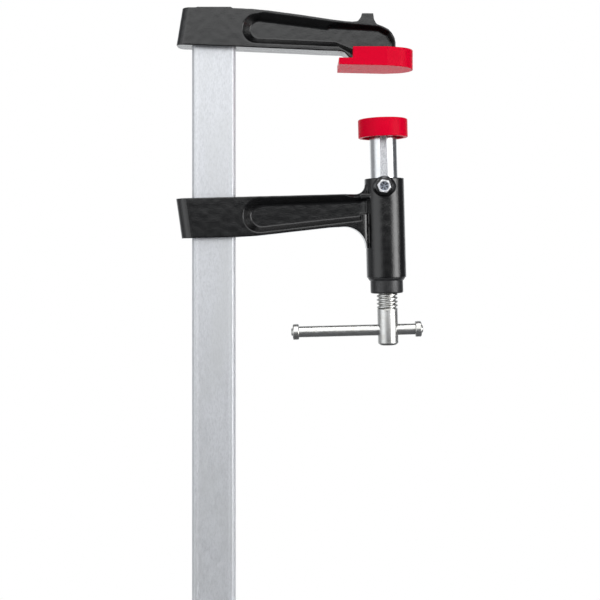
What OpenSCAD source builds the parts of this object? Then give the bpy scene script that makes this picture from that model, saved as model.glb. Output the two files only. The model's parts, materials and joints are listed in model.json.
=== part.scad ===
// Quick release bar clamp: a flat rail with a fixed arm, and a sliding arm that carries
// a plunger driven by a threaded spindle. Origin at the fixed pad's clamping face, on the
// clamping axis. +Z runs up the rail to the fixed arm, +X points away from the rail.

/* [Clamp] */
// Clear distance from the rail's edge to the clamping axis
throat = 121; // [110:1:130]
// Widest gap between the clamping faces
opening = 400; // [300:10:600]
// Thickness of both cast arms
arm_t = 22; // [20:1:24]
// Lean of the sliding arm when it hangs loose on the rail, in degrees
lean = 1.45; // [1:0.05:1.6]
// Slope of the fixed pad's clamping face, in degrees
toe_in = 1.3; // [0:0.1:1.6]

/* [Rail] */
// Width of the rail
rail_w = 35; // [34:0.5:35]
// Thickness of the rail
rail_t = 11; // [9:0.5:12]
// Depth of the shallow channel in each wide side
rail_recess = 0.8; // [0.4:0.1:1.2]
// Bevel along each long edge
rail_bevel = 2.2; // [1:0.1:2.4]

/* [Pads] */
// Width of the fixed pad
pad_w = 41.5; // [39:0.5:44]
// Diameter of the plunger's cap
cap_d = 40; // [38:0.5:44]
// Height of the plunger's cap
cap_h = 14.8; // [14:0.1:18]

/* [Spindle and plunger] */
// Diameter of the plunger
plunger_d = 22; // [20.5:0.5:22.5]
// Outside diameter of the barrel
barrel_d = 32; // [31:0.5:34]
// Outside diameter of the spindle's thread
thread_d = 17; // [16:0.5:18]
// Advance of the spindle for one turn
thread_pitch = 3; // [2:0.5:4]
// Diameter of the spindle's plain shank
shank_d = 16.5; // [15:0.5:17]
// Diameter of the tommy bar
bar_d = 9; // [8:0.5:9.5]
// Length of the tommy bar between its end discs
bar_len = 94; // [85:1:110]
// Distance of the tommy bar's middle from the spindle's axis
bar_shift = -25; // [-35:1:35]

/* [Hidden] */
$fn = 64;

gap = 0.1;                              // play between neighbours that do not move
fit = 0.06;                             // running clearance on the radius
eps = 0.01;

// Rail
rail_x = -throat - rail_w / 2;          // rail's middle
rear_x = rail_x - rail_w / 2;           // rear edge of the rail
front_x = rail_x + rail_w / 2;          // edge of the rail that faces the throat
rail_rib = 1.6;                         // flat crest beside each bevel, and the slope after it

// Fixed arm: heights above the clamping face
head_top = 48.2;
boss_top = 48.6;
foot_z = 5.3;                           // underside of the jaw foot
foot_h = 4;
pad_top = 15;
lip_top = 6.2;
lip_x = -26.9;                          // end of the pad's low lip
pad_x0 = -38;
pad_end_r = 18.6;                       // round end of the pad, and its middle
pad_end_x = 3.8;
stem_x0 = -26.5;
stem_x1 = 7.6;
foot_w = 30;

// Hollows in the sides of both arms
pocket_depth = 6.5;

// Sliding arm, drawn square to the rail and leaned afterwards
cap_top = -44.4;
arm_top = -104.4;
arm_bottom = -136.6;
pivot_z = (arm_top + arm_bottom) / 2;   // the arm rocks on the shoe at this height
barrel_top = -92.3;
barrel_bottom = -172.2;
screw_z = -99.5;
arch_r = 17.8;                          // big fillet under the arm, at the barrel
arch_z = -148.3;
top_r = 7.5;                            // small fillet above the arm
joint_x = -barrel_d / 2 - 3.3;          // from here the arm thins down to the barrel
joint_y = 7;                            // half thickness where it meets the barrel
boss_out = 3.2;                         // guide screw's boss, proud of the barrel
boss_r = 6.7;
boss_root_r = 9;
washer_t = 1.4;
guide_turn = -4.5;                      // keyway and guide screw, turned from the front

// Plunger
stroke_out = 12;
stroke_in = 30;
cap_bottom = cap_top - cap_h;
cap_floor = 3.8;
plate_d = 33;
plate_h = 4.8;
plate_z = cap_top - cap_floor - plate_h - gap;
key_w = 5;
key_depth = 3.5;
key_tip_d = 4.6;
key_z0 = screw_z - stroke_out - key_w / 2;
plunger_bottom = -129.6;
socket_top = -115.6;
socket_d = 12.2;
rivet_d = 10;

// Spindle
bush_inside = 8;
collar_d = 26.4;
collar_bottom = -184.9;
ring_h = 2.4;
thread_bottom = -197.5;
thread_top = -132.6;
thread_depth = 1.6;
neck_d = 9;
head_d = 12;
head_z0 = -127.1;
head_z1 = -119.2;
ball_d = 7;
shank_bottom = -226.8;
bar_z = -214.5;
disc_d = 12.7;
disc_t = 5;
dome_h = 1.3;                           // button on the outside of an end disc

// End stop: where the arm's head stands at the widest opening
stop_d = 6;
stop_z = arm_bottom - (opening + cap_top - stroke_in) - stop_d / 2 - 0.5;
rail_bottom = stop_z - 12;

// Friction shoe and grip spring
shoe_r = 5.5;
shoe_w = 6;
shoe_gap = 0.2;
spring_l = 14;
spring_w = 5;
spring_t = 0.6;
spring_bow = 1.2;
spring_room = 2.4;                      // depth of the spring's pocket in the arm

black = [0.09, 0.09, 0.09];
red = [0.86, 0.0, 0.16];
bright = [0.80, 0.81, 0.83];
steel = [0.68, 0.69, 0.71];

// Turns what is drawn square to the rail into its resting lean
module leaned() {
    translate([rear_x, 0, pivot_z])
        rotate([0, -lean, 0])
            translate([-rear_x, 0, -pivot_z])
                children();
}

// Stands an XZ outline up and gives it thickness t about the middle plane
module slab(t) {
    rotate([90, 0, 0])
        linear_extrude(height = t, center = true)
            children();
}

// Copies to both sides of the middle plane
module both_sides() {
    children();
    mirror([0, 1, 0]) children();
}

// Hollow side of an arm: floor and rim outlines are given as circles [x, z, radius],
// joined by a sloping wall
module pocket(rim, floor, depth) {
    hull() {
        for (d = rim)
            translate([d[0], -arm_t / 2 - 0.5, d[1]])
                rotate([-90, 0, 0]) cylinder(r = d[2], h = 0.5, $fn = 32);
        for (d = floor)
            translate([d[0], -arm_t / 2, d[1]])
                rotate([-90, 0, 0]) cylinder(r = d[2], h = depth, $fn = 32);
    }
}

// Rear end of a head with corners of radius r, which slants from x_top to x_bottom
module rounded_end(r, x_top, z_top, x_bottom, z_bottom, x_front) {
    hull() {
        for (side = [-1, 1]) {
            translate([x_top + r, side * (arm_t / 2 - r), z_top]) cylinder(r = r, h = eps, $fn = 32);
            translate([x_bottom + r, side * (arm_t / 2 - r), z_bottom]) cylinder(r = r, h = eps, $fn = 32);
        }
        translate([x_front - 1, -arm_t / 2, z_bottom]) cube([1, arm_t, z_top - z_bottom]);
    }
}

// ---------------------------------------------------------------- rail

module rail_section() {
    half_w = rail_w / 2;
    half_t = rail_t / 2;
    crest = half_w - rail_bevel;
    quarter = [
        [crest - 2 * rail_rib, half_t - rail_recess],
        [crest - rail_rib, half_t],
        [crest, half_t],
        [half_w, half_t - rail_bevel]
    ];
    corners = len(quarter);
    polygon([
        for (p = quarter) p,
        for (i = [corners - 1 : -1 : 0]) [quarter[i][0], -quarter[i][1]],
        for (p = quarter) [-p[0], -p[1]],
        for (i = [corners - 1 : -1 : 0]) [-quarter[i][0], quarter[i][1]]
    ]);
}

module rail() {
    color(steel)
        difference() {
            translate([rail_x, 0, rail_bottom])
                linear_extrude(height = boss_top - rail_bottom) rail_section();
            translate([rail_x, 0, stop_z])
                rotate([90, 0, 0]) cylinder(d = stop_d, h = rail_t + 2, center = true);
        }
}

module rail_end_stop() {
    color(steel)
        translate([rail_x, 0, stop_z])
            rotate([90, 0, 0]) cylinder(d = stop_d, h = rail_t + 7, center = true);
}

// ---------------------------------------------------------------- fixed arm

module fixed_outline() {
    offset(r = -2.5) offset(delta = 2.5)
        polygon([
            [-180, 18.9], [front_x, 16.7], [-99, 15.7], [-69, 14.4], [-53, 13.6],
            [-36.5, 13.1], [-33.9, 12.5], [-28.8, 7.4], [-26.6, foot_z],
            [stem_x1, foot_z], [stem_x1, 20], [6.8, 23.8], [4.6, 27.8], [1.7, 30.8],
            [-2.6, 33], [-7.6, 34.9], [-9.7, 38.6], [-10.2, 43.4],
            [-19.3, 43.4], [-20.3, 40], [-22.6, 37.1], [-27.3, 36.7], [-33.7, 37.2],
            [-45, 38.7], [-69, 42.3], [-93, 45.5], [-107, 46.9], [-122.8, 47.6],
            [-124.2, boss_top], [-151, boss_top], [-152, head_top], [-180, head_top]
        ]);
}

module fixed_arm() {
    color(black)
        difference() {
            union() {
                intersection() {
                    slab(arm_t) fixed_outline();
                    rounded_end(7, -163.2, head_top + 2, -170.8, foot_z - 1, 60);
                }
                jaw_foot(0);
            }
            both_sides() {
                pocket([[-103.3, 30.9, 11.8], [-98, 38.9, 4.8], [-40, 29.2, 6.6], [-36, 21.6, 5.4]],
                       [[-101.8, 31.4, 7.2], [-41, 27, 4], [-36, 24.2, 3]], pocket_depth);
                pocket([[-44, 28.8, 7.4], [-7, 27, 5.6], [0, 25.8, 3.4], [3.3, 20, 3.2],
                        [3.5, 12, 3], [-24.8, 12.6, 3], [-31.6, 19.6, 4.5]],
                       [[-44, 28, 4.8], [-7, 26.4, 4.4], [-1.2, 25, 2.8], [2.3, 19.6, 2.8],
                        [2.5, 12, 3], [-20.8, 16.8, 3], [-31, 23.8, 3]], pocket_depth);
            }
            translate([rail_x, 0, 0])
                linear_extrude(height = 60) offset(delta = gap) rail_section();
        }
}

// Foot of the jaw, which the pad snaps over, grown by play on every side
module jaw_foot(play) {
    translate([0, 0, foot_z - play])
        linear_extrude(height = foot_h + 2 * play)
            intersection() {
                translate([stem_x0 - play, -foot_w / 2 - play])
                    square([60, foot_w + 2 * play]);
                translate([-6, 0]) {
                    circle(r = foot_w / 2 + play);
                    translate([-40, -foot_w / 2 - play]) square([40, foot_w + 2 * play]);
                }
            }
}

// The pad seen from above: straight sides that draw in to a smaller round end
module pad_plan() {
    half = pad_w / 2;
    turn = atan2(half, -pad_end_x) - acos(pad_end_r / norm([half, pad_end_x]));
    touch = [pad_end_x + pad_end_r * cos(turn), pad_end_r * sin(turn)];
    polygon([
        [pad_x0, -half], [0, -half], [touch[0], -touch[1]], touch, [0, half], [pad_x0, half]
    ]);
    translate([pad_end_x, 0]) circle(r = pad_end_r);
}

module fixed_pad() {
    color(red)
        difference() {
            translate([0, 0, -2]) linear_extrude(height = pad_top + 2) pad_plan();
            translate([-60, -30, lip_top]) cube([60 + lip_x, 60, 20]);
            rotate([0, toe_in, 0]) translate([-80, -40, -10]) cube([160, 80, 10]);
            jaw_foot(gap);
            translate([stem_x0 - 1.5, -arm_t / 2 - gap, foot_z])
                cube([stem_x1 + gap - stem_x0 + 1.5, arm_t + 2 * gap, 20]);
        }
}

// ---------------------------------------------------------------- friction shoe

// Lies along the axis that the arm rocks about
module rocking_axis() {
    translate([rear_x, 0, pivot_z]) rotate([90, 0, 0]) children();
}

// Half-moon: its flat bears on the rail's rear edge, and the arm rocks on its round back
module friction_shoe() {
    color(bright)
        intersection() {
            rocking_axis() cylinder(r = shoe_r, h = shoe_w, center = true);
            translate([rear_x - shoe_r - 1, -shoe_w / 2 - 1, pivot_z - shoe_r - 1])
                cube([shoe_r + 1 - shoe_gap, shoe_w + 2, 2 * shoe_r + 2]);
        }
}

// Bowed leaf that presses on the rail's front edge
module grip_spring() {
    r = (spring_l * spring_l / 4 + spring_bow * spring_bow) / (2 * spring_bow);
    color(steel)
        leaned()
            translate([front_x + 0.15 + r, 0, pivot_z])
                intersection() {
                    rotate([90, 0, 0])
                        difference() {
                            cylinder(r = r, h = spring_w, center = true, $fn = 96);
                            cylinder(r = r - spring_t, h = spring_w + 1, center = true, $fn = 96);
                        }
                    translate([-r, 0, 0])
                        cube([2 * (spring_bow + spring_t), spring_w, spring_l], center = true);
                }
}

// ---------------------------------------------------------------- sliding arm

module sliding_outline() {
    rib_x = -barrel_d / 2;
    arch_x = rib_x - arch_r;
    difference() {
        polygon([
            [-180, arm_top], [rib_x - top_r, arm_top], [rib_x - top_r, arm_top + top_r],
            [rib_x, arm_top + top_r], [0, arm_top + top_r], [0, arch_z], [arch_x, arch_z],
            [arch_x, arch_z + arch_r], [-45, arm_bottom + 5.7], [-104, arm_bottom + 0.5],
            [-118, arm_bottom], [-180, arm_bottom]
        ]);
        translate([arch_x, arch_z]) circle(r = arch_r);
        translate([rib_x - top_r, arm_top + top_r]) circle(r = top_r);
    }
}

// The arm seen from above: it thins down where it meets the barrel
module sliding_plan() {
    half = arm_t / 2;
    polygon([
        [-200, -half], [joint_x, -half], [joint_x + 5, -joint_y], [0, -joint_y],
        [0, joint_y], [joint_x + 5, joint_y], [joint_x, half], [-200, half]
    ]);
}

// Opening for the rail, eased where the arm leans
module rail_slot() {
    ease = 0.55;
    slab(rail_t + 0.7)
        polygon([
            [rear_x - gap, arm_top + 5], [rear_x - gap, pivot_z],
            [rear_x - gap - ease, arm_bottom - 2], [front_x + gap, arm_bottom - 2],
            [front_x + gap, pivot_z], [front_x + gap + ease, arm_top + 5]
        ]);
}

module sliding_arm_casting() {
    bevel = 4;
    difference() {
        intersection() {
            slab(arm_t) sliding_outline();
            translate([0, 0, barrel_bottom])
                linear_extrude(height = barrel_top - barrel_bottom) sliding_plan();
            rounded_end(arm_t / 2, -170.4, barrel_top + 2, -160.8, barrel_bottom, 20);
        }
        both_sides() {
            pocket([[-101, -119.8, 13.5], [-6, -111.3, 5.7], [-6, -118.9, 5.8]],
                   [[-99.6, -120.4, 8.8], [-6, -113.6, 3], [-6, -117.3, 4]], pocket_depth);
            // Eases the small fillet's edge
            translate([-barrel_d / 2 - top_r, -arm_t / 2 - eps, arm_top + top_r])
                rotate([-90, 0, 0]) cylinder(r1 = top_r + bevel, r2 = top_r, h = bevel * 1.5);
        }
    }
    translate([0, 0, barrel_bottom])
        cylinder(d = barrel_d, h = barrel_top - barrel_bottom);
    guide_side()
        translate([0, -barrel_d / 2 - boss_out, 0])
            rotate([-90, 0, 0]) cylinder(r1 = boss_r, r2 = boss_root_r, h = 6);
}

// Turns to the side that the guide screw enters from, at its height
module guide_side() {
    translate([0, 0, screw_z]) rotate([0, 0, guide_turn]) children();
}

module sliding_arm() {
    bore_r = plunger_d / 2 + fit;
    color(black)
        leaned()
            difference() {
                sliding_arm_casting();
                rail_slot();
                rocking_axis() cylinder(r = shoe_r + gap, h = shoe_w + 0.6, center = true);
                translate([front_x, -spring_w / 2 - 0.3, pivot_z - spring_l / 2 - 0.4])
                    cube([spring_room + gap, spring_w + 0.6, spring_l + 0.8]);
                translate([0, 0, barrel_bottom - 1])
                    cylinder(r = bore_r, h = barrel_top - barrel_bottom + 2);
                translate([0, 0, barrel_bottom - 1])
                    cylinder(r = bore_r + 1, h = bush_inside + 1);
                translate([0, 0, barrel_top - 1])
                    cylinder(r1 = bore_r, r2 = bore_r + 1.2, h = 1.2);
                guide_side()
                    translate([0, -30, 0]) rotate([-90, 0, 0]) cylinder(r = 3 + gap, h = 28);
            }
}

module guide_screw() {
    head_h = 4;
    head_y = -barrel_d / 2 - boss_out - washer_t;
    color(bright)
        leaned()
            guide_side()
                translate([0, head_y, 0])
                    rotate([-90, 0, 0])
                        difference() {
                            union() {
                                intersection() {
                                    translate([0, 0, -head_h])
                                        rotate([0, 0, 11]) cylinder(d = 11.05, h = head_h, $fn = 6);
                                    translate([0, 0, -head_h]) cylinder(r1 = 4.9, r2 = 8.1, h = head_h);
                                }
                                cylinder(r = 3, h = -head_y - plunger_d / 2 - fit);
                                cylinder(d = key_tip_d, h = -head_y - plunger_d / 2 + key_depth - 0.3);
                            }
                            translate([0, 0, -head_h - eps]) cylinder(r1 = 3.4, r2 = 2.6, h = 0.6);
                        }
}

module guide_screw_washer() {
    color(bright)
        leaned()
            guide_side()
                translate([0, -barrel_d / 2 - boss_out - washer_t, 0])
                    rotate([-90, 0, 0])
                        difference() {
                            cylinder(r = 5.6, h = washer_t);
                            translate([0, 0, -1]) cylinder(r = 3 + gap, h = 4);
                            rotate([0, 0, 50]) translate([2, -0.4, -1]) cube([5, 0.8, 4]);
                        }
}

module threaded_bush() {
    color(black)
        leaned()
            rotate_extrude()
                polygon([
                    [thread_d / 2 + fit, collar_bottom], [collar_d / 2 - 1.5, collar_bottom],
                    [collar_d / 2 - 0.4, collar_bottom + 0.5],
                    [collar_d / 2, collar_bottom + 1.6],
                    [collar_d / 2, barrel_bottom],
                    [plunger_d / 2 + fit + 0.9, barrel_bottom],
                    [plunger_d / 2 + fit + 0.9, barrel_bottom + bush_inside],
                    [thread_d / 2 + fit, barrel_bottom + bush_inside]
                ]);
}

module bush_lock_ring() {
    color(black)
        leaned()
            rotate_extrude()
                polygon([
                    [collar_d / 2, barrel_bottom - ring_h], [collar_d / 2 + 0.3, barrel_bottom - ring_h],
                    [barrel_d / 2 - 1, barrel_bottom - 0.5], [barrel_d / 2 - 1, barrel_bottom],
                    [collar_d / 2, barrel_bottom]
                ]);
}

// ---------------------------------------------------------------- plunger

module plunger() {
    r = plunger_d / 2;
    color(bright)
        leaned()
            difference() {
                rotate_extrude()
                    polygon([
                        [0, plunger_bottom], [r - 1, plunger_bottom], [r, plunger_bottom + 1],
                        [r, plate_z], [rivet_d / 2, plate_z], [rivet_d / 2, plate_z + plate_h],
                        [0, plate_z + plate_h]
                    ]);
                translate([0, 0, plunger_bottom - 1])
                    cylinder(d = socket_d, h = socket_top - plunger_bottom + 1);
                translate([0, 0, plunger_bottom + 0.3]) cylinder(d = socket_d + 2.2, h = 1.4);
                // Keyway for the guide screw, round at its lower end
                rotate([0, 0, guide_turn]) {
                    translate([-key_w / 2, -r - 1, key_z0 + key_w / 2])
                        cube([key_w, key_depth + 1, cap_bottom - 1 - key_z0 - key_w / 2]);
                    translate([0, -r + key_depth, key_z0 + key_w / 2])
                        rotate([90, 0, 0]) cylinder(d = key_w, h = key_depth + 1);
                }
            }
}

module pressure_plate() {
    color(steel)
        leaned()
            translate([0, 0, plate_z])
                difference() {
                    cylinder(d = plate_d, h = plate_h);
                    translate([0, 0, -1]) cylinder(d = rivet_d + gap, h = plate_h + 2);
                }
}

module plunger_cap() {
    color(red)
        leaned()
            rotate_extrude($fn = 96)
                polygon([
                    [0, cap_top], [cap_d / 2 - 0.8, cap_top], [cap_d / 2, cap_top - 0.8],
                    [cap_d / 2, cap_bottom + 0.6], [cap_d / 2 - 0.6, cap_bottom],
                    [plate_d / 2 + gap, cap_bottom], [plate_d / 2 + gap, plate_z - 2.2],
                    [plate_d / 2 - 0.7, plate_z - 1.6], [plate_d / 2 - 0.7, plate_z - 0.2],
                    [plate_d / 2 + gap, plate_z - 0.2], [plate_d / 2 + gap, cap_top - cap_floor],
                    [0, cap_top - cap_floor]
                ]);
}

module thrust_ball() {
    color(bright) leaned() translate([0, 0, socket_top - ball_d / 2]) sphere(d = ball_d);
}

module retaining_ring() {
    color(steel)
        leaned()
            translate([0, 0, plunger_bottom + 0.4])
                difference() {
                    cylinder(r = socket_d / 2 + 1, h = 1.2);
                    translate([0, 0, -1]) cylinder(r = neck_d / 2 + 0.3, h = 4);
                    translate([0, -1.5, -1]) cube([12, 3, 4]);
                }
}

// ---------------------------------------------------------------- spindle

module spindle() {
    crest_r = thread_d / 2;
    root_r = crest_r - thread_depth;
    turns = floor((thread_top - thread_bottom) / thread_pitch) - 1;
    color(bright)
        leaned()
            difference() {
                union() {
                    rotate_extrude()
                        polygon([
                            [0, shank_bottom], [shank_d / 2 - 1.6, shank_bottom],
                            [shank_d / 2, shank_bottom + 1.6], [shank_d / 2, thread_bottom],
                            [root_r, thread_bottom], [root_r, thread_top],
                            [neck_d / 2, thread_top + 1], [neck_d / 2, head_z0],
                            [head_d / 2, head_z0], [head_d / 2, head_z1 - 0.8],
                            [head_d / 2 - 0.8, head_z1], [0, head_z1]
                        ]);
                    for (i = [0 : turns])
                        translate([0, 0, thread_bottom + 0.4 + i * thread_pitch])
                            thread_ridge(root_r, crest_r);
                }
                translate([0, 0, socket_top - ball_d / 2]) sphere(d = ball_d + 0.2);
                translate([0, 0, bar_z])
                    rotate([0, 90, 0]) cylinder(d = bar_d + 0.16, h = 40, center = true);
            }
}

// One crest of the trapezoidal thread
module thread_ridge(root_r, crest_r) {
    flank = 0.45;
    rotate_extrude()
        polygon([
            [root_r - 1, 0], [root_r, 0], [crest_r, flank],
            [crest_r, thread_pitch * 0.6 - flank], [root_r, thread_pitch * 0.6],
            [root_r - 1, thread_pitch * 0.6]
        ]);
}

module tommy_bar() {
    color(bright)
        leaned()
            translate([bar_shift, 0, bar_z])
                rotate([0, 90, 0]) cylinder(d = bar_d, h = bar_len, center = true);
}

// End disc with a shallow dome, upset on the bar's end
module tommy_end() {
    r = disc_d / 2;
    rotate([0, 90, 0])
        rotate_extrude()
            polygon([
                [0, 0], [r - 0.4, 0], [r, 0.4], [r, disc_t - 0.5], [r - 0.5, disc_t],
                [3.2, disc_t], [2.6, disc_t + dome_h], [0, disc_t + dome_h]
            ]);
}

module tommy_end_left() {
    color(bright)
        leaned()
            translate([bar_shift - bar_len / 2, 0, bar_z]) mirror([1, 0, 0]) tommy_end();
}

module tommy_end_right() {
    color(bright)
        leaned() translate([bar_shift + bar_len / 2, 0, bar_z]) tommy_end();
}

rail();
rail_end_stop();
fixed_arm();
fixed_pad();
friction_shoe();
grip_spring();
sliding_arm();
guide_screw();
guide_screw_washer();
threaded_bush();
bush_lock_ring();
plunger();
pressure_plate();
plunger_cap();
thrust_ball();
retaining_ring();
spindle();
tommy_bar();
tommy_end_left();
tommy_end_right();
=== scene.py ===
"""The finished look of a quick release bar clamp: black cast arms, a drawn steel rail with
fine teeth on its narrow sides, a plated plunger, a turned spindle and tommy bar, and red pads.

Each piece stands where the frame says. Lengths are millimetres, except where a comment says
metres."""

import json
import math

import bmesh
import bpy
from mathutils import Matrix, Vector, noise


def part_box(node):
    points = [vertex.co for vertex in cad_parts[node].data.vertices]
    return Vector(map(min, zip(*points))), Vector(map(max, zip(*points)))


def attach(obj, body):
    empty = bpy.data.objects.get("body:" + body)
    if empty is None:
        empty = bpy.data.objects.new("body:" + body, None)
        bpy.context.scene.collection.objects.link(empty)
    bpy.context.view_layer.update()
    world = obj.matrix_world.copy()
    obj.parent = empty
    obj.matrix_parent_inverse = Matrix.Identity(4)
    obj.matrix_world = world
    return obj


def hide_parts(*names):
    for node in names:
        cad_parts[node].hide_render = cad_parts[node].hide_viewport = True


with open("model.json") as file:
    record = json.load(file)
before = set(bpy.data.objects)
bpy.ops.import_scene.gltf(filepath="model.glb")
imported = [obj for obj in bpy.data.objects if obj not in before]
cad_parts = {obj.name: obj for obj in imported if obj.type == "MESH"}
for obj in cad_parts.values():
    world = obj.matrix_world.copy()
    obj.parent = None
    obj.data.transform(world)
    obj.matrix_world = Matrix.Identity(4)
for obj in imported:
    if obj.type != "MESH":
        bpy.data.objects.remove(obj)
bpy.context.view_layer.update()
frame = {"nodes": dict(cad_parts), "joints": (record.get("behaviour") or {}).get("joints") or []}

MM = 0.001                              # in metres, Blender's unit
NODES = frame["nodes"]
JOINTS = {joint["name"]: joint for joint in frame["joints"]}

# The sliding arm and all it carries are drawn upright, about the spindle's axis, and then
# leaned by LEANED, a matrix in metres
LEAN_AXIS = Vector(JOINTS["plunger_slide"]["axis"])
LEAN = math.atan2(-LEAN_AXIS.x, LEAN_AXIS.z)
LEAN_PIVOT = Vector(JOINTS["arm_tilt"]["pos_m"])
LEANED = (Matrix.Translation(LEAN_PIVOT) @ Matrix.Rotation(-LEAN, 4, "Y")
          @ Matrix.Translation(-LEAN_PIVOT))

# Turns for what is drawn along +Z, so that it points right, to the front or in from the front
ALONG_X = Matrix.Rotation(math.pi / 2, 4, "Y")
TOWARDS_FRONT = Matrix.Rotation(math.pi / 2, 4, "X")
INWARDS = Matrix.Rotation(-math.pi / 2, 4, "X")

# Guide screw and keyway stand a little beside the barrel's front
GUIDE_TURN = Matrix.Rotation(math.radians(-4.5), 4, "Z")

# Photograph's frame: a level camera on the clamp's front, in pixels of a 600 pixel square
IMAGE_SIZE = 600
CAMERA_DISTANCE_PX = 1050
HORIZON_PX = 250
CENTRE_PX = 300
ORIGIN_PX = (385.0, 69.7)
MM_PER_PX = 0.81

# Soft lights painted on the world, in degrees: azimuth 0 is the camera's side and 90 the
# clamp's right. Each grows from nothing to its full level between the first two angles, and
# fades between the last two. Level 1 all around would render white as white.
LIGHTS = {
    "right": dict(azimuth=(25, 56, 58, 88), elevation=(-20, -8, 8, 20), level=7.4,
                  color=(1.0, 1.0, 1.0)),
    "left": dict(azimuth=(-104, -62, -48, -14), elevation=(-32, -12, 12, 32), level=1.7,
                 color=(0.97, 0.99, 1.0)),
    "overhead": dict(azimuth=(-50, -18, 18, 50), elevation=(1, 14, 36, 62), level=2.3,
                     color=(0.99, 1.0, 1.0)),
    "left_side": dict(azimuth=(-150, -130, -110, -85), elevation=(-45, -30, 30, 45), level=0.3,
                      color=(0.97, 0.99, 1.0)),
    "top": dict(azimuth=(-60, -35, 35, 60), elevation=(50, 64, 82, 94), level=4.2,
                color=(1.0, 1.0, 1.0)),
    "backdrop_left": dict(azimuth=(-181, -180, -152, -128), elevation=(-45, -30, 30, 45),
                          level=1.05, color=(0.97, 0.99, 1.0)),
    "backdrop_right": dict(azimuth=(128, 152, 180, 181), elevation=(-45, -30, 30, 45),
                           level=1.05, color=(0.97, 0.99, 1.0)),
}
ROOM_COLOR = (0.14, 0.145, 0.155)
TABLE_LEVEL = 1.2                       # what a pale table sends up to matt surfaces
TABLE_EDGE = -25                        # elevation at which the table comes into sight
TABLE_FULL = -45                        # and at which it fills the view


# ------------------------------------------------------------------ camera, light and floor

def add_camera():
    """Level camera that looks along +Y, with the photograph's horizon and scale."""
    data = bpy.data.cameras.new("camera")
    data.sensor_width = 36
    data.lens = data.sensor_width * CAMERA_DISTANCE_PX / IMAGE_SIZE
    data.shift_y = (HORIZON_PX - CENTRE_PX) / IMAGE_SIZE
    camera = bpy.data.objects.new("camera", data)
    bpy.context.scene.collection.objects.link(camera)
    camera.location = Vector((
        (CENTRE_PX - ORIGIN_PX[0]) * MM_PER_PX,
        -CAMERA_DISTANCE_PX * MM_PER_PX,
        (ORIGIN_PX[1] - HORIZON_PX) * MM_PER_PX,
    )) * MM
    camera.rotation_euler = (math.pi / 2, 0, 0)
    bpy.context.scene.camera = camera


def add_node(tree, kind, *inputs, **settings):
    """New shader node. Its inputs are given in order, each as a value or a socket to link."""
    made = tree.nodes.new(kind)
    for name, value in settings.items():
        setattr(made, name, value)
    for socket, value in zip(made.inputs, inputs):
        if isinstance(value, bpy.types.NodeSocket):
            tree.links.new(value, socket)
        else:
            socket.default_value = value
    return made


def add_world():
    """White to the camera. For light and reflections a dim room with the soft lights."""
    world = bpy.data.worlds.new("room")
    world.use_nodes = True
    bpy.context.scene.world = world
    tree = world.node_tree

    def math_node(operation, *inputs):
        return add_node(tree, "ShaderNodeMath", *inputs, operation=operation).outputs["Value"]

    def added(first, second):
        return add_node(tree, "ShaderNodeVectorMath", first, second,
                        operation="ADD").outputs["Vector"]

    def step(source, start, end):
        return add_node(tree, "ShaderNodeMapRange", source, math.radians(start),
                        math.radians(end), interpolation_type="SMOOTHSTEP").outputs["Result"]

    coordinate = add_node(tree, "ShaderNodeTexCoord").outputs["Generated"]
    x, y, z = add_node(tree, "ShaderNodeSeparateXYZ", coordinate).outputs
    azimuth = math_node("ARCTAN2", x, math_node("MULTIPLY", y, -1.0))
    elevation = math_node("ARCSINE", z)
    total = add_node(tree, "ShaderNodeCombineXYZ", *ROOM_COLOR).outputs["Vector"]
    for light in LIGHTS.values():
        mask = light["level"]
        for angle, name in ((azimuth, "azimuth"), (elevation, "elevation")):
            grow, full, fade, gone = light[name]
            mask = math_node("MULTIPLY", mask, step(angle, grow, full))
            mask = math_node("MULTIPLY", mask, step(angle, gone, fade))
        share = add_node(tree, "ShaderNodeVectorMath", light["color"], operation="SCALE")
        tree.links.new(mask, share.inputs["Scale"])
        total = added(total, share.outputs["Vector"])

    path = add_node(tree, "ShaderNodeLightPath").outputs
    matt = math_node("SUBTRACT", 1.0, path["Is Glossy Ray"])
    table = math_node("MULTIPLY", step(elevation, TABLE_EDGE, TABLE_FULL), TABLE_LEVEL)
    table = math_node("MULTIPLY", table, matt)
    bounce = add_node(tree, "ShaderNodeCombineXYZ", table, table, table).outputs["Vector"]

    room = tree.nodes["Background"]
    tree.links.new(added(total, bounce), room.inputs["Color"])
    white = add_node(tree, "ShaderNodeBackground", (1, 1, 1, 1))
    mix = add_node(tree, "ShaderNodeMixShader", path["Is Camera Ray"],
                   room.outputs["Background"], white.outputs["Background"])
    tree.links.new(mix.outputs["Shader"], tree.nodes["World Output"].inputs["Surface"])


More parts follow.
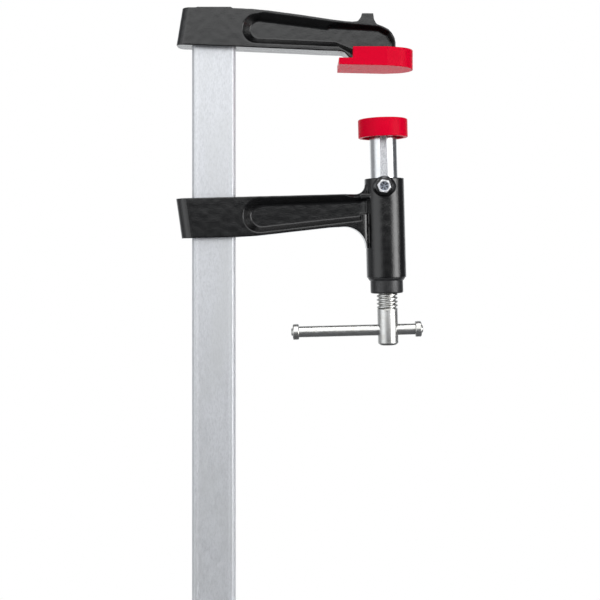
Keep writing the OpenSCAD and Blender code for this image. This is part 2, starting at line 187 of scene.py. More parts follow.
def add_floor():
    """Pale floor under the lowest place that the slid-down arm reaches. It takes the
    clamp's shadow near the middle and fades into the white background further out."""
    place = (-0.07, 0, -0.60)           # in metres, as is the radius
    radius = 0.42
    shade = 0.9
    roughness = 0.8
    fade_start = 0.3                    # as a share of the radius
    bpy.ops.mesh.primitive_circle_add(vertices=96, radius=radius, fill_type="NGON")
    floor = bpy.context.object
    floor.name = "floor"
    floor.location = place
    floor.visible_glossy = False
    material = bpy.data.materials.new("floor")
    material.use_nodes = True
    tree = material.node_tree
    shader = tree.nodes["Principled BSDF"]
    shader.inputs["Base Color"].default_value = (shade, shade, shade, 1)
    shader.inputs["Roughness"].default_value = roughness

    coordinate = add_node(tree, "ShaderNodeTexCoord").outputs["Object"]
    distance = add_node(tree, "ShaderNodeVectorMath", coordinate, operation="LENGTH")
    fade = add_node(tree, "ShaderNodeMapRange", distance.outputs["Value"], radius * fade_start,
                    radius, interpolation_type="SMOOTHSTEP")
    path = add_node(tree, "ShaderNodeLightPath").outputs
    seen = add_node(tree, "ShaderNodeMath", fade.outputs["Result"], path["Is Camera Ray"],
                    operation="MULTIPLY")
    white = add_node(tree, "ShaderNodeEmission")
    mix = add_node(tree, "ShaderNodeMixShader", seen.outputs["Value"], shader.outputs["BSDF"],
                   white.outputs["Emission"])
    tree.links.new(mix.outputs["Shader"], tree.nodes["Material Output"].inputs["Surface"])
    floor.data.materials.append(material)


# ------------------------------------------------------------------ materials

class Finish:
    """A node material on the piece's own coordinates, which are metres in the frame."""

    def __init__(self, name, color, roughness, metallic=0.0, **sockets):
        self.material = bpy.data.materials.new(name)
        self.material.use_nodes = True
        self.tree = self.material.node_tree
        self.shader = self.tree.nodes["Principled BSDF"]
        self.color = (*color, 1)
        self.shader.inputs["Base Color"].default_value = self.color
        self.shader.inputs["Roughness"].default_value = roughness
        self.shader.inputs["Metallic"].default_value = metallic
        for socket, value in sockets.items():
            self.shader.inputs[socket.replace("_", " ")].default_value = value
        self.normal = None

    def link(self, source, target):
        self.tree.links.new(source, target)

    def noise(self, size_mm, stretch=(1, 1, 1), detail=3.0, roughness=0.5):
        """Noise whose blotches are about size_mm across, drawn out by stretch."""
        coordinate = add_node(self.tree, "ShaderNodeTexCoord").outputs["Object"]
        mapping = add_node(self.tree, "ShaderNodeMapping", coordinate)
        mapping.inputs["Scale"].default_value = [1 / (size_mm * MM * s) for s in stretch]
        made = add_node(self.tree, "ShaderNodeTexNoise", mapping.outputs["Vector"])
        made.inputs["Scale"].default_value = 1.0
        made.inputs["Detail"].default_value = detail
        made.inputs["Roughness"].default_value = roughness
        return made.outputs["Fac"]

    def spread(self, source, low, high, to_low=0.0, to_high=1.0):
        """Stretches the part of source between low and high over to_low to to_high."""
        return add_node(self.tree, "ShaderNodeMapRange", source, low, high,
                        to_low, to_high).outputs["Result"]

    def tint(self, source, low, high, color):
        """Lays color over the base colour so far. Source shows none of it up to low and
        all of it from high on."""
        mix = add_node(self.tree, "ShaderNodeMix", data_type="RGBA")
        base = self.shader.inputs["Base Color"]
        if base.is_linked:
            self.link(base.links[0].from_socket, mix.inputs["A"])
        else:
            mix.inputs["A"].default_value = self.color
        mix.inputs["B"].default_value = (*color, 1)
        self.link(self.spread(source, low, high), mix.inputs["Factor"])
        self.link(mix.outputs["Result"], base)

    def rough(self, source, low, high):
        """Roughness from low to high over the middle of the values that noise takes."""
        from_low, from_high = 0.35, 0.65
        mixed = self.spread(source, from_low, from_high, low, high)
        self.link(mixed, self.shader.inputs["Roughness"])

    def bump(self, source, depth_mm):
        """Adds a relief of about depth_mm."""
        made = add_node(self.tree, "ShaderNodeBump")
        made.inputs["Strength"].default_value = 1.0
        made.inputs["Distance"].default_value = depth_mm * MM
        self.link(source, made.inputs["Height"])
        if self.normal:
            self.link(self.normal, made.inputs["Normal"])
        self.normal = made.outputs["Normal"]
        self.link(self.normal, self.shader.inputs["Normal"])


def black_casting():
    """Gloss paint over the grain of a sand casting. All its shine is in the coat."""
    paint = Finish("black_casting", (0.0025, 0.0025, 0.0027), 0.4, Specular_IOR_Level=0.0,
                   Coat_Weight=1.0, Coat_Roughness=0.12)
    paint.tint(paint.noise(5, detail=5), 0.5, 0.75, (0.005, 0.005, 0.0055))
    paint.rough(paint.noise(2.5, detail=4), 0.36, 0.5)
    paint.bump(paint.noise(1.0, detail=2), 0.06)
    paint.bump(paint.noise(0.5, detail=2, roughness=0.6), 0.045)
    paint.link(paint.normal, paint.shader.inputs["Coat Normal"])
    return paint.material


def red_plastic():
    red = Finish("red_plastic", (0.53, 0.0, 0.018), 0.3, Specular_IOR_Level=0.03)
    red.tint(red.noise(9, detail=4), 0.5, 0.8, (0.49, 0.0, 0.017))
    red.rough(red.noise(3, detail=4), 0.26, 0.36)
    red.bump(red.noise(0.9, detail=3), 0.02)
    return red.material


def rail_steel():
    """Plated drawn steel, speckled and a little matt."""
    steel = Finish("rail_steel", (0.61, 0.62, 0.645), 0.4, 0.74)
    steel.tint(steel.noise(1.1, (1, 1, 2.5), detail=5, roughness=0.65), 0.42, 0.7, (0.50, 0.51, 0.53))
    steel.tint(steel.noise(24, (1, 1, 3), detail=3), 0.45, 0.8, (0.55, 0.56, 0.57))
    steel.rough(steel.noise(1.6, (1, 1, 3), detail=4), 0.40, 0.54)
    steel.bump(steel.noise(0.45, (1, 1, 8), detail=3, roughness=0.6), 0.02)
    return steel.material


def bright_steel():
    """Plated and polished steel with faint marks from turning."""
    steel = Finish("bright_steel", (0.58, 0.59, 0.60), 0.22, 1.0)
    steel.tint(steel.noise(5, detail=5), 0.45, 0.8, (0.53, 0.54, 0.55))
    steel.rough(steel.noise(1.5, (3, 3, 0.5), detail=4), 0.16, 0.26)
    steel.bump(steel.noise(0.8, (3, 3, 1), detail=2), 0.002)
    return steel.material


def turned_steel():
    """Bare turned steel, warmer and duller than the plated pieces."""
    steel = Finish("turned_steel", (0.54, 0.54, 0.53), 0.3, 1.0)
    steel.tint(steel.noise(4, detail=5), 0.45, 0.75, (0.47, 0.46, 0.43))
    steel.rough(steel.noise(1.5, (3, 3, 0.5), detail=4), 0.28, 0.4)
    steel.bump(steel.noise(0.8, (3, 3, 1), detail=2), 0.003)
    return steel.material


def zinc_steel():
    """Dull zinc over milled or forged steel."""
    zinc = Finish("zinc_steel", (0.78, 0.78, 0.80), 0.5, 0.9)
    zinc.tint(zinc.noise(0.7, detail=5, roughness=0.7), 0.45, 0.62, (0.42, 0.43, 0.45))
    zinc.rough(zinc.noise(0.5, detail=3), 0.42, 0.6)
    zinc.bump(zinc.noise(0.45, detail=3, roughness=0.6), 0.05)
    zinc.bump(zinc.noise(1.1, detail=2), 0.12)
    return zinc.material


def black_steel():
    steel = Finish("black_steel", (0.02, 0.02, 0.021), 0.36, 0.3)
    steel.tint(steel.noise(3, detail=5), 0.5, 0.8, (0.045, 0.045, 0.047))
    steel.rough(steel.noise(1, detail=3), 0.28, 0.42)
    steel.bump(steel.noise(0.5, (4, 4, 0.6), detail=3), 0.02)
    return steel.material


def spring_steel():
    steel = Finish("spring_steel", (0.25, 0.27, 0.32), 0.3, 1.0)
    steel.rough(steel.noise(1, detail=4), 0.22, 0.4)
    steel.bump(steel.noise(0.4, (1, 1, 4), detail=2), 0.01)
    return steel.material


def plain_steel():
    steel = Finish("plain_steel", (0.55, 0.55, 0.56), 0.32, 1.0)
    steel.tint(steel.noise(2, detail=5), 0.5, 0.8, (0.45, 0.44, 0.43))
    steel.rough(steel.noise(1.2, detail=4), 0.26, 0.42)
    steel.bump(steel.noise(0.5, detail=3), 0.015)
    return steel.material


FINISHES = {
    "black_casting": black_casting(),
    "red_plastic": red_plastic(),
    "rail_steel": rail_steel(),
    "bright_steel": bright_steel(),
    "turned_steel": turned_steel(),
    "zinc_steel": zinc_steel(),
    "black_steel": black_steel(),
    "spring_steel": spring_steel(),
    "plain_steel": plain_steel(),
}


# ------------------------------------------------------------------ shapes

def add_mesh(name, source, matrix=Matrix.Identity(4)):
    """New object from a bmesh in millimetres, placed by matrix, which is in metres."""
    bmesh.ops.recalc_face_normals(source, faces=source.faces)
    mesh = bpy.data.meshes.new(name)
    source.to_mesh(mesh)
    source.free()
    mesh.transform(matrix @ Matrix.Scale(MM, 4))
    piece = bpy.data.objects.new(name, mesh)
    bpy.context.scene.collection.objects.link(piece)
    return piece


def copy_of(node, name):
    """New object with a copy of a node's mesh."""
    piece = bpy.data.objects.new(name, NODES[node].data.copy())
    bpy.context.scene.collection.objects.link(piece)
    return piece


def add_modifier(piece, kind, **settings):
    made = piece.modifiers.new(kind.lower(), kind)
    for name, value in settings.items():
        setattr(made, name, value)


def apply_modifiers(piece):
    """Makes what the modifiers show the piece's own mesh."""
    evaluated = piece.evaluated_get(bpy.context.evaluated_depsgraph_get())
    mesh = bpy.data.meshes.new_from_object(evaluated)
    piece.modifiers.clear()
    piece.data = mesh


def turned(profile, closed=False, steps=96):
    """Solid turned about Z from (radius, height) points. An open profile starts and ends on
    the axis; a closed one makes a ring."""
    solid = bmesh.new()
    rings = []
    for radius, height in profile:
        angles = [2 * math.pi * i / steps for i in range(steps if radius > 0 else 1)]
        rings.append([
            solid.verts.new((radius * math.cos(a), radius * math.sin(a), height))
            for a in angles
        ])
    pairs = list(zip(rings, rings[1:]))
    if closed:
        pairs.append((rings[-1], rings[0]))
    for lower, upper in pairs:
        for i in range(steps):
            corners = [lower[i % len(lower)], lower[(i + 1) % len(lower)],
                       upper[(i + 1) % len(upper)], upper[i % len(upper)]]
            corners = list(dict.fromkeys(corners))
            if len(corners) > 2:
                solid.faces.new(corners)
    return solid


def rounded(points, closed=False, steps=5):
    """Outline in which each (x, z, size) corner becomes a curve that begins size before
    the corner and ends size after it. Corners given as (x, z) stay sharp."""
    most = 0.49                         # the share of a side that one corner's curve may take
    outline = []
    count = len(points)
    for i, point in enumerate(points):
        here = Vector(point[:2])
        inner = closed or 0 < i < count - 1
        if len(point) < 3 or not inner:
            outline.append(tuple(here))
            continue
        before = Vector(points[i - 1][:2]) - here
        after = Vector(points[(i + 1) % count][:2]) - here
        start = here + before.normalized() * min(point[2], before.length * most)
        end = here + after.normalized() * min(point[2], after.length * most)
        for step in range(steps + 1):
            t = step / steps
            outline.append(tuple((1 - t) ** 2 * start + 2 * t * (1 - t) * here + t * t * end))
    return outline


def mirrored(half_outline):
    """Closed (x, y) outline from its half with y above 0, listed along x."""
    return half_outline + [(x, -y) for x, y in reversed(half_outline)]


def prism(outline, low_z, high_z):
    """Solid over an (x, y) outline between two heights."""
    solid = bmesh.new()
    rings = [[solid.verts.new((x, y, z)) for x, y in outline] for z in (low_z, high_z)]
    skin(solid, rings)
    return solid


def skin(solid, rings):
    """Walls between closed rings of vertices, and a face over the first and last ring."""
    count = len(rings[0])
    for lower, upper in zip(rings, rings[1:]):
        for i in range(count):
            j = (i + 1) % count
            solid.faces.new((lower[i], lower[j], upper[j], upper[i]))
    solid.faces.new(rings[0])
    solid.faces.new(rings[-1])


def block(low, high):
    """Box between two corners."""
    solid = bmesh.new()
    size = Vector(high) - Vector(low)
    place = Matrix.Translation((Vector(high) + Vector(low)) / 2) @ Matrix.Diagonal((*size, 1))
    bmesh.ops.create_cube(solid, size=1, matrix=place)
    return solid


def moved(solid, matrix):
    """The bmesh itself, moved by matrix."""
    bmesh.ops.transform(solid, matrix=matrix, verts=solid.verts)
    return solid


def joined(*parts):
    """One bmesh that holds all the given ones."""
    whole = bmesh.new()
    for part in parts:
        mesh = bpy.data.meshes.new("part")
        part.to_mesh(mesh)
        part.free()
        whole.from_mesh(mesh)
        bpy.data.meshes.remove(mesh)
    return whole


def combined(first, second, operation):
    """Boolean of two bmeshes: DIFFERENCE or INTERSECT."""
    pieces = [add_mesh("first", first), add_mesh("second", second)]
    add_modifier(pieces[0], "BOOLEAN", operation=operation, object=pieces[1], solver="EXACT")
    apply_modifiers(pieces[0])
    result = bmesh.new()
    result.from_mesh(pieces[0].data)
    bmesh.ops.scale(result, vec=(1 / MM,) * 3, verts=result.verts)
    for piece in pieces:
        bpy.data.objects.remove(piece)
    return result


def soften(piece, voxel_mm, rounds):
    """Turns a sharp solid into a fine mesh with rounded edges, as casting leaves them."""
    weld = 1e-6                         # in metres
    add_modifier(piece, "WELD", merge_threshold=weld)
    add_modifier(piece, "REMESH", mode="VOXEL", voxel_size=voxel_mm * MM, adaptivity=0.0)
    add_modifier(piece, "SMOOTH", factor=0.5, iterations=rounds)
    apply_modifiers(piece)


def roughen(piece, size_mm, depth_mm):
    """Uneven surface of a sand casting, in the mesh itself."""
    vertices = piece.data.vertices
    lifted = []
    for place, normal in [(v.co.copy(), v.normal.copy()) for v in vertices]:
        lift = noise.noise(place / (size_mm * MM)) * depth_mm * MM
        lifted.extend(place + normal * lift)
    vertices.foreach_set("co", lifted)
    piece.data.update()


def upright_box(node, turn=Matrix.Identity(4)):
    """Lowest and highest corner of a node that leans with the sliding arm, before it leans
    and before turn about the spindle's axis."""
    back = (LEANED @ turn).inverted()
    places = [back @ vertex.co / MM for vertex in NODES[node].data.vertices]
    return Vector(map(min, zip(*places))), Vector(map(max, zip(*places)))


def finish_piece(piece, body, slot, *replaced, sharp_deg=35):
    """Gives a piece its finish, its body and the node that it stands for. Edges that turn
    by more than sharp_deg stay sharp."""
    piece.data.materials.clear()
    piece.data.materials.append(FINISHES[slot])
    piece.data.shade_smooth()
    piece.data.set_sharp_from_angle(angle=math.radians(sharp_deg))
    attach(piece, body)
    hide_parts(*replaced)
    return piece


# ------------------------------------------------------------------ rail and castings

def rail():
    """Drawn bar with a shallow channel in each wide side, crests and bevels beside it, and
    fine teeth across both narrow sides."""
    tooth_pitch = 1.5
    tooth_depth = 0.35
    tooth_steepness = 1.5               # how soon the teeth reach their depth on the bevel
    gap_middle, gap_end = 0.35, 0.65    # of the gap before a tooth, as shares of the pitch
    recess = 0.35
    bevel = 2.2
    rib = 1.6
    end_chamfer = 1.0
    top_chamfer = 0.3
    low, high = (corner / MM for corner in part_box("rail"))
    middle_x = (low.x + high.x) / 2
    half_w = (high.x - low.x) / 2
    half_t = (high.y - low.y) / 2
    crest = half_w - bevel
    tooth_start = crest + 0.5
    side_start = crest * 0.9            # points further out than this move in with the side
    quarter = rounded([
        (0, half_t - recess), (crest - 2 * rib, half_t - recess, 0.5),
        (crest - rib, half_t, 0.4), (crest, half_t, 0.35), (half_w, half_t - bevel, 0.3),
        (half_w, 0),
    ], steps=3)
    half = quarter[1:] + [(x, -y) for x, y in reversed(quarter[1:-1])]
    outline = half + [(-x, -y) for x, y in half]

    # Rings of the outline up the bar: height, how far it is drawn in, and 1 in a tooth's gap
    rows = [(low.z, end_chamfer, 0), (low.z + end_chamfer, 0, 0)]
    z = low.z + end_chamfer + tooth_pitch
    while z < high.z - 2 * tooth_pitch:
        rows += [
            (z, 0, 0), (z + gap_middle * tooth_pitch, 0, 1), (z + gap_end * tooth_pitch, 0, 0),
        ]
        z += tooth_pitch
    rows += [(high.z - top_chamfer, 0, 0), (high.z, top_chamfer, 0)]

    solid = bmesh.new()
    rings = []
    for z, inset, tooth in rows:
        ring = []
        for x, y in outline:
            beyond = max(0.0, abs(x) - tooth_start) / (half_w - tooth_start)
            cut = inset + tooth * tooth_depth * min(1.0, beyond * tooth_steepness)
            if abs(x) > side_start:
                x -= math.copysign(cut, x)
            ring.append(solid.verts.new((middle_x + x, y - math.copysign(inset, y), z)))
        rings.append(ring)
    skin(solid, rings)
    finish_piece(add_mesh("rail_bar", solid), "root", "rail_steel", "rail", sharp_deg=24)


def rail_end_stop():
    """Pin with eased ends across the rail's lower end."""
    ease = 0.9
    low, high = (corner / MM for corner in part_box("rail_end_stop"))
    radius = (high.z - low.z) / 2
    half = (high.y - low.y) / 2
    profile = rounded([(0, -half), (radius, -half, ease), (radius, half, ease), (0, half)])
    place = Matrix.Translation((low + high) / 2) @ TOWARDS_FRONT
    pin = moved(turned(profile, steps=48), place)
    finish_piece(add_mesh("rail_end_pin", pin), "root", "plain_steel", "rail_end_stop")


def finish_casting(piece, body, node):
    """Rounded edges, a slightly uneven surface and black paint."""
    soften(piece, voxel_mm=0.4, rounds=3)
    roughen(piece, size_mm=5, depth_mm=0.06)
    finish_piece(piece, body, "black_casting", node, sharp_deg=180)


def fixed_arm():
    finish_casting(copy_of("fixed_arm", "fixed_arm_casting"), "root", "fixed_arm")


def fixed_pad():
    """Moulded pad with slightly rounded edges."""
    pad = copy_of("fixed_pad", "fixed_pad_moulding")
    soften(pad, voxel_mm=0.25, rounds=1)
    finish_piece(pad, "root", "red_plastic", "fixed_pad", sharp_deg=180)


def sliding_arm():
    """Casting of the sliding arm, with the metal that leads it into the barrel: a shoulder
    under the rib, a ramp out of the pocket, and a flange on top at full thickness."""
    half_t = 11                         # half the arm's thickness
    root_x = -20                        # where the arm begins to narrow towards the barrel
    barrel_x = -13.6                    # where the shoulder ends on the barrel
    arch_r = 17.8                       # fillet under the arm, and its middle
    arch_x, arch_z = -33.8, -148.3
    arch_end_x = -16                    # the fillet's last point before the barrel
    arch_steps = 8
    arch_gap = 0.05                     # keeps the shoulder inside the arm's own outline
    shoulder_top = -120.5
    flange_low, flange_high = -108.4, -104.5
    past = 5                            # how far the shoulder's plan runs past its side view

    arch = []
    for step in range(arch_steps + 1):
        x = root_x + (arch_end_x - root_x) * step / arch_steps
        arch.append((x, arch_z + math.sqrt(arch_r ** 2 - (x - arch_x) ** 2) + arch_gap))
    side = [(root_x, shoulder_top), *arch, (barrel_x, arch_z), (barrel_x, shoulder_top)]
    slab = moved(prism(side, -half_t, half_t), TOWARDS_FRONT)
    plan = mirrored([
        (root_x, 10.95), (-18.6, 10.85), (-17, 10.5), (-15.9, 10), (-15, 9.4), (barrel_x, 8.1),
    ])
    shoulder = combined(slab, prism(plan, arch_z - past, shoulder_top + past), "INTERSECT")
    ramp_plan = mirrored([(root_x - 2, 4), (-18, 5), (-16.2, 5.6), (barrel_x, 5)])
    ramp = prism(ramp_plan, shoulder_top, flange_low)
    flange = block((root_x, -half_t, flange_low), (barrel_x + 1, half_t, flange_high))

    arm = bmesh.new()
    arm.from_mesh(NODES["sliding_arm"].data)
    moved(arm, Matrix.Scale(1 / MM, 4) @ LEANED.inverted())
    piece = add_mesh("sliding_arm_casting", joined(arm, shoulder, ramp, flange), LEANED)
    finish_casting(piece, "slider", "sliding_arm")


# ------------------------------------------------------------------ plunger

def plunger():
    """Plated plunger with the keyway that the guide screw's tip runs in."""
    key_w = 5
    key_depth = 3.5
    rivet_r = 5
    edge_clear = 1.5                    # metal left between the keyway and the plate
    chamfer = 1
    tool_past = 1                       # how far the cutting tools stand out of the rod
    slack = 0.01                        # for telling the keyway's faces from the rod's
    low, high = upright_box("plunger")
    screw_low, screw_high = upright_box("guide_screw", GUIDE_TURN)
    plate_z = upright_box("pressure_plate")[0].z
    radius = (high.x - low.x) / 2
    screw_z = (screw_low.z + screw_high.z) / 2
    stroke_out = JOINTS["plunger_slide"]["range_m"][1] / MM
    body = turned(rounded([
        (0, low.z), (radius - chamfer, low.z, 0.3), (radius, low.z + chamfer, 0.3),
        (radius, plate_z, 0.3), (rivet_r, plate_z, 0.2), (rivet_r, high.z, 0.3), (0, high.z),
    ]), steps=128)
    foot = screw_z - stroke_out
    slot = block((-key_w / 2, -radius - tool_past, foot),
                 (key_w / 2, key_depth - radius, plate_z - edge_clear))
    cutter_h = key_depth + tool_past
    cutter = turned([(0, 0), (key_w / 2, 0), (key_w / 2, cutter_h), (0, cutter_h)], steps=48)
    cutter = moved(cutter, Matrix.Translation((0, key_depth - radius, foot)) @ TOWARDS_FRONT)
    for tool in (slot, cutter):
        body = combined(body, moved(tool, GUIDE_TURN), "DIFFERENCE")
    rod = finish_piece(add_mesh("plunger_rod", body, LEANED), "ram", "bright_steel", "plunger")

    # The milled keyway stays duller than the plated rod
    rod.data.materials.append(FINISHES["zinc_steel"])
    dull = len(rod.data.materials) - 1
    back = (LEANED @ GUIDE_TURN).inverted()
    for face in rod.data.polygons:
        centre = back @ face.center / MM
        along_slot = foot - key_w / 2 < centre.z < plate_z - edge_clear + slack
        across_slot = abs(centre.x) < key_w / 2 + slack
        if along_slot and across_slot and centre.xy.length < radius - 2 * slack:
            face.material_index = dull


def pressure_plate():
    """Disc under the cap, with a hole for the plunger's rivet."""
    hole_r = 5.05
    ease = 0.6
    low, high = upright_box("pressure_plate")
    radius = (high.x - low.x) / 2
    disc = turned(rounded([
        (hole_r, low.z), (radius, low.z, ease), (radius, high.z, ease), (hole_r, high.z),
    ], closed=True), closed=True)
    finish_piece(add_mesh("pressure_disc", disc, LEANED), "ram", "plain_steel", "pressure_plate")


def plunger_cap():
    """Moulded cap: a flat crown with an eased rim, hollow below, with a lip that snaps
    under the plate."""
    crown = 3.8
    lip = 0.8
    lip_h = 1.4
    lip_slope = 0.6                     # the lip's height below its full depth
    play_r, play_z = 0.1, 0.2           # between plate and cap, and between plate and lip
    low, high = upright_box("plunger_cap")
    plate_low, plate_high = upright_box("pressure_plate")
    radius = (high.x - low.x) / 2
    inner = (plate_high.x - plate_low.x) / 2 + play_r
    lip_top = plate_low.z - play_z
    lip_low = lip_top - lip_h
    cap = turned(rounded([
        (0, high.z), (radius, high.z, 1.1), (radius, low.z, 0.7), (inner, low.z, 0.6),
        (inner, lip_low - lip_slope), (inner - lip, lip_low), (inner - lip, lip_top),
        (inner, lip_top), (inner, high.z - crown), (0, high.z - crown),
    ]), steps=144)
    finish_piece(add_mesh("plunger_cap_moulding", cap, LEANED), "ram", "red_plastic", "plunger_cap")


# ------------------------------------------------------------------ spindle and tommy bar

def thread(root, crest, pitch, low_z, high_z):
    """Threaded length with one true helix of trapezoidal ridges and flat ends."""
    steps = 96                          # to a turn
    flank = 0.24                        # lengths along the axis, as shares of the pitch
    land = 0.34
    ease = 0.16
    weld = 1e-4                         # points closer than this are one
    ridge = [(0, root), (flank, crest), (flank + land, crest), (2 * flank + land, root)]
    profile = rounded([(z * pitch, r, ease) for z, r in ridge] + [(pitch, root)], steps=3)
    turns = int((high_z - low_z) / pitch) + 3
    solid = bmesh.new()
    rows = []
    for step in range(turns * steps + 1):
        angle = 2 * math.pi * step / steps
        rise = low_z - 1.5 * pitch + pitch * step / steps
        rows.append([
            solid.verts.new((r * math.cos(angle), r * math.sin(angle), rise + z))
            for z, r in profile
        ])
    for lower, upper in zip(rows, rows[1:]):
        for i in range(len(profile) - 1):
            solid.faces.new((lower[i], lower[i + 1], upper[i + 1], upper[i]))
    bmesh.ops.remove_doubles(solid, verts=solid.verts, dist=weld)
    for height, side in ((low_z, 1), (high_z, -1)):
        bmesh.ops.bisect_plane(
            solid, geom=[*solid.verts, *solid.edges, *solid.faces],
            plane_co=(0, 0, height), plane_no=(0, 0, -side), clear_outer=True,
        )
        rim = [
            edge for edge in solid.edges
            if edge.is_boundary and abs(edge.verts[0].co.z - height) < 10 * weld
        ]
        bmesh.ops.triangle_fill(solid, edges=rim, use_beauty=True)
    return solid


def spindle():
    """Threaded spindle with a plain shank, drilled across for the tommy bar."""
    shank_r = 8.25
    shank_chamfer = 1.6
    thread_depth = 1.6
    thread_low, thread_high = -197.5, -132.6
    pitch = 3.0
    neck_r = 4.5
    head_r = 6
    head_h = 7.9
    overlap = 0.5                       # of the neck and the threaded length
    root_in, root_up = 0.2, 0.6         # the shank's upper end, hidden in the thread's root
    bar_play = 0.08
    reach = 20                          # the drill goes right through the shank
    low, high = upright_box("spindle")
    bar_low, bar_high = upright_box("tommy_bar")
    crest = (high.x - low.x) / 2
    root = crest - thread_depth
    bar_z = (bar_low.z + bar_high.z) / 2
    hole_r = (bar_high.y - bar_low.y) / 2 + bar_play
    shank = turned(rounded([
        (0, low.z), (shank_r - shank_chamfer, low.z, 0.4), (shank_r, low.z + shank_chamfer, 0.4),
        (shank_r, thread_low, 0.5), (root - root_in, thread_low + root_up, 0.2),
        (0, thread_low + root_up),
    ]), steps=96)
    hole = turned([(0, -reach), (hole_r, -reach), (hole_r, reach), (0, reach)], steps=64)
    hole = moved(hole, Matrix.Translation((0, 0, bar_z)) @ ALONG_X)
    top = turned(rounded([
        (0, thread_high - overlap), (neck_r, thread_high - overlap),
        (neck_r, high.z - head_h, 0.4), (head_r, high.z - head_h, 0.3), (head_r, high.z, 0.8),
        (0, high.z),
    ]), steps=64)
    whole = joined(combined(shank, hole, "DIFFERENCE"),
                   thread(root, crest, pitch, thread_low, thread_high), top)
    finish_piece(add_mesh("spindle_rod", whole, LEANED), "screw", "turned_steel", "spindle")


def tommy_bar():
    low, high = upright_box("tommy_bar")
    radius = (high.z - low.z) / 2
    profile = [(0, low.x), (radius, low.x), (radius, high.x), (0, high.x)]
    place = Matrix.Translation((0, 0, (low.z + high.z) / 2)) @ ALONG_X
    bar = moved(turned(profile, steps=64), place)
    finish_piece(add_mesh("tommy_rod", bar, LEANED), "tommy", "turned_steel", "tommy_bar")


def tommy_end(node, side):
    """Disc with a worn edge and a button that was upset to hold it. Side is 1 for the
    bar's right end and -1 for its left end."""
    button_h = 1.3
    button_r = 2.9
    button_foot = 0.6                   # how much wider the button's root is
    low, high = upright_box(node)
    radius = (high.z - low.z) / 2
    thick = high.x - low.x - button_h
    disc = turned(rounded([
        (0, 0), (radius, 0, 0.9), (radius, thick, 1.0), (button_r + button_foot, thick, 0.5),
        (button_r, thick + button_h, 0.7), (0, thick + button_h),
    ]), steps=72)
    inner_x = low.x if side > 0 else high.x
    place = (Matrix.Translation((inner_x, 0, (low.z + high.z) / 2))
             @ Matrix.Rotation(side * math.pi / 2, 4, "Y"))
    disc = moved(disc, place)
    finish_piece(add_mesh(node + "_disc", disc, LEANED), "tommy", "turned_steel", node)


# ------------------------------------------------------------------ bush and guide screw

def threaded_bush():
    """Collar below the barrel, with a narrower part that reaches up inside it."""
    bore_r = 8.56
    inside_r = 11.96
    bore_chamfer = 0.8
    low, high = upright_box("threaded_bush")
    ring_high = upright_box("bush_lock_ring")[1]
    collar_r = (high.x - low.x) / 2
    solid = turned(rounded([
        (bore_r, low.z), (bore_r + bore_chamfer, low.z), (collar_r, low.z, 1.5),
        (collar_r, ring_high.z, 0.1), (inside_r, ring_high.z), (inside_r, high.z),
        (bore_r, high.z),
    ], closed=True), closed=True)
    finish_piece(add_mesh("bush_collar", solid, LEANED), "slider", "black_steel", "threaded_bush")


def bush_lock_ring():
    """Thin ring that widens from the collar up to the barrel."""
    bore_r = 13.21
    foot_w = 0.5
    rim_h = 0.6
    low, high = upright_box("bush_lock_ring")
    outer_r = (high.x - low.x) / 2
    solid = turned(rounded([
        (bore_r, low.z), (bore_r + foot_w, low.z, 0.3), (outer_r, high.z - rim_h, 0.4),
        (outer_r, high.z), (bore_r, high.z),
    ], closed=True), closed=True)
    finish_piece(add_mesh("lock_ring", solid, LEANED), "slider", "black_steel", "bush_lock_ring")


def guide_place(y, z):
    """Place of a screw or washer that is drawn along +Z, so that it points into the barrel."""
    return GUIDE_TURN @ Matrix.Translation((0, y, z)) @ INWARDS


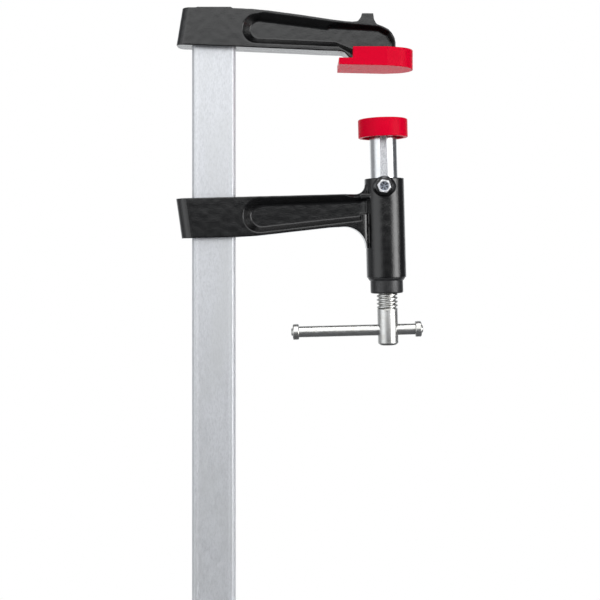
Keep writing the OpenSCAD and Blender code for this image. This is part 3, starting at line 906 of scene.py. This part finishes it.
def guide_screw():
    """Hexagon screw: chamfered head with a darker dish and plain radial ticks in it."""
    head_h = 4
    across_corners = 11.05
    head_turn = 11                      # degrees
    chamfer_start = 4.8                 # radius at which the head's face begins to fall off
    chamfer_end, chamfer_drop = 7.6, 1.5
    dish_r = 3.7
    dish_wall = 0.3                     # how far its wall leans in over its depth
    dish_depth = 0.4
    overlap = 0.5                       # of head and stem
    tick_count = 6
    tick_turn = 20                      # degrees
    tick_start, tick_end = 1.2, 3.2
    tick_w = 0.9
    tick_depth = 1.3
    stem_r = 3
    tip_r = 2.3
    tip_h = 4
    low, high = upright_box("guide_screw", GUIDE_TURN)
    corner_r = across_corners / 2
    hexagon = turned([(0, -head_h), (corner_r, -head_h), (corner_r, 0), (0, 0)], steps=6)
    hexagon = moved(hexagon, Matrix.Rotation(math.radians(head_turn), 4, "Z"))
    dome = turned(rounded([
        (0, dish_depth - head_h), (dish_r - dish_wall, dish_depth - head_h, 0.2),
        (dish_r, -head_h, 0.15), (chamfer_start, -head_h, 0.3),
        (chamfer_end, chamfer_drop - head_h), (chamfer_end, overlap), (0, overlap),
    ]), steps=72)
    head = combined(hexagon, dome, "INTERSECT")
    for i in range(tick_count):
        tick = block((tick_start, -tick_w / 2, -head_h - overlap),
                     (tick_end, tick_w / 2, tick_depth - head_h))
        turn = math.radians(360 / tick_count * i + tick_turn)
        head = combined(head, moved(tick, Matrix.Rotation(turn, 4, "Z")), "DIFFERENCE")
    length = high.y - low.y - head_h
    stem = turned(rounded([
        (0, -overlap), (stem_r, -overlap), (stem_r, length - tip_h, 0.2),
        (tip_r, length - tip_h + 0.2), (tip_r, length, 0.4), (0, length),
    ]), steps=48)
    place = guide_place(low.y + head_h, (low.z + high.z) / 2)
    whole = moved(joined(head, stem), place)
    screw = finish_piece(add_mesh("hex_guide_screw", whole, LEANED), "slider", "zinc_steel",
                         "guide_screw")

    # The dish keeps the darker forged skin, and the ticks are black inside as painted shade in their
    # grooves
    screw.data.materials.append(FINISHES["spring_steel"])
    screw.data.materials.append(FINISHES["black_steel"])
    forged, black = 1, 2
    slack = 0.05
    upright = LEANED.inverted()
    back = place.inverted()
    for face in screw.data.polygons:
        centre = back @ (upright @ face.center / MM)
        depth = centre.z + head_h
        if centre.xy.length < dish_r - 2 * slack and depth < tick_depth + 2 * slack:
            # the black in the ticks' grooves is painted shade
            face.material_index = black if depth > dish_depth + slack else forged


def guide_screw_washer():
    """Split spring washer."""
    bore_r = 3.1
    ease = 0.2
    split_w = 0.8
    split_turn = 50                     # degrees
    past = 1                            # how far the cutter runs past the ring
    low, high = upright_box("guide_screw_washer", GUIDE_TURN)
    radius = (high.x - low.x) / 2
    thick = high.y - low.y
    ring = turned(rounded([
        (bore_r, 0), (radius, 0, ease), (radius, thick, ease), (bore_r, thick),
    ], closed=True), closed=True)
    split = block((bore_r - past, -split_w / 2, -past),
                  (radius + past, split_w / 2, thick + past))
    split = moved(split, Matrix.Rotation(math.radians(split_turn), 4, "Z"))
    place = guide_place(low.y, (low.z + high.z) / 2)
    ring = moved(combined(ring, split, "DIFFERENCE"), place)
    finish_piece(add_mesh("spring_washer", ring, LEANED), "slider", "black_steel",
                 "guide_screw_washer")


def inner_parts():
    """Finishes of the parts that the castings close in, which keep the shape they have."""
    slots = {
        "friction_shoe": "plain_steel", "grip_spring": "spring_steel",
        "thrust_ball": "bright_steel", "retaining_ring": "spring_steel",
    }
    for node, slot in slots.items():
        NODES[node].data.materials.clear()
        NODES[node].data.materials.append(FINISHES[slot])


# ------------------------------------------------------------------ build

bpy.context.scene.view_settings.view_transform = "Standard"
add_camera()
add_world()
add_floor()

fixed_arm()
sliding_arm()
fixed_pad()
rail()
rail_end_stop()
plunger()
pressure_plate()
plunger_cap()
spindle()
tommy_bar()
tommy_end("tommy_end_left", -1)
tommy_end("tommy_end_right", 1)
threaded_bush()
bush_lock_ring()
guide_screw()
guide_screw_washer()
inner_parts()
